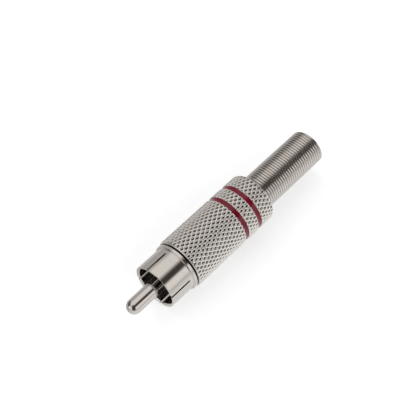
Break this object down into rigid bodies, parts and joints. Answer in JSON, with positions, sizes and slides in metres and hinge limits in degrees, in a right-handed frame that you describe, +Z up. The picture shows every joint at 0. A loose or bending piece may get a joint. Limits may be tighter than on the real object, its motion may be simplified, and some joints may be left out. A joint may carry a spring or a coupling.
{
  "type": "rca plug",
  "caption": "Cable-mounted phono plug with a centre pin, slotted ground collar, knurled screw-on barrel with colour bands and a spring strain relief.",
  "frame": {"origin": "on the plug's axis, in the plane of the collar's rim", "axes": "+X along the axis towards the cable, -X along the pin towards its tip, +Z up with the plug lying on its barrel"},
  "size_m": [0.0539, 0.011, 0.011],
  "materials": {
    "pin_nickel": "bright nickel plate",
    "collar_nickel": "bright nickel plate",
    "barrel_nickel": "satin nickel plate over a diamond knurl",
    "spring_steel": "bright nickel plate",
    "tinned_sheet": "tinned",
    "black_insulator": "moulded, satin",
    "brown_laminate": "punched laminate, dull",
    "sleeve_plastic": "extruded, satin",
    "red_enamel": "gloss enamel"
  },
  "bodies": {
    "plug_body": {"centre_pin": "pin_nickel", "insulator": "black_insulator", "ground_collar": "collar_nickel", "ground_lug": "tinned_sheet", "rear_washer": "brown_laminate"},
    "spring": {"relief_spring": "spring_steel"},
    "barrel": {"barrel": "barrel_nickel", "insulating_sleeve": "sleeve_plastic", "front_colour_band": "red_enamel", "rear_colour_band": "red_enamel"}
  },
  "joints": [
    {"name": "barrel_back_off", "type": "slide", "parent": "plug_body", "child": "spring", "axis": [1, 0, 0], "range_m": [0, 0.0045]},
    {"name": "barrel_turn", "type": "hinge", "parent": "spring", "child": "barrel", "pos_m": [0.0175, 0, 0], "axis": [1, 0, 0], "range_deg": [0, 2160]}
  ],
  "couplings": [
    {"joint": "barrel_back_off", "follows": "barrel_turn", "m_per_rad": 0.00011937}
  ]
}
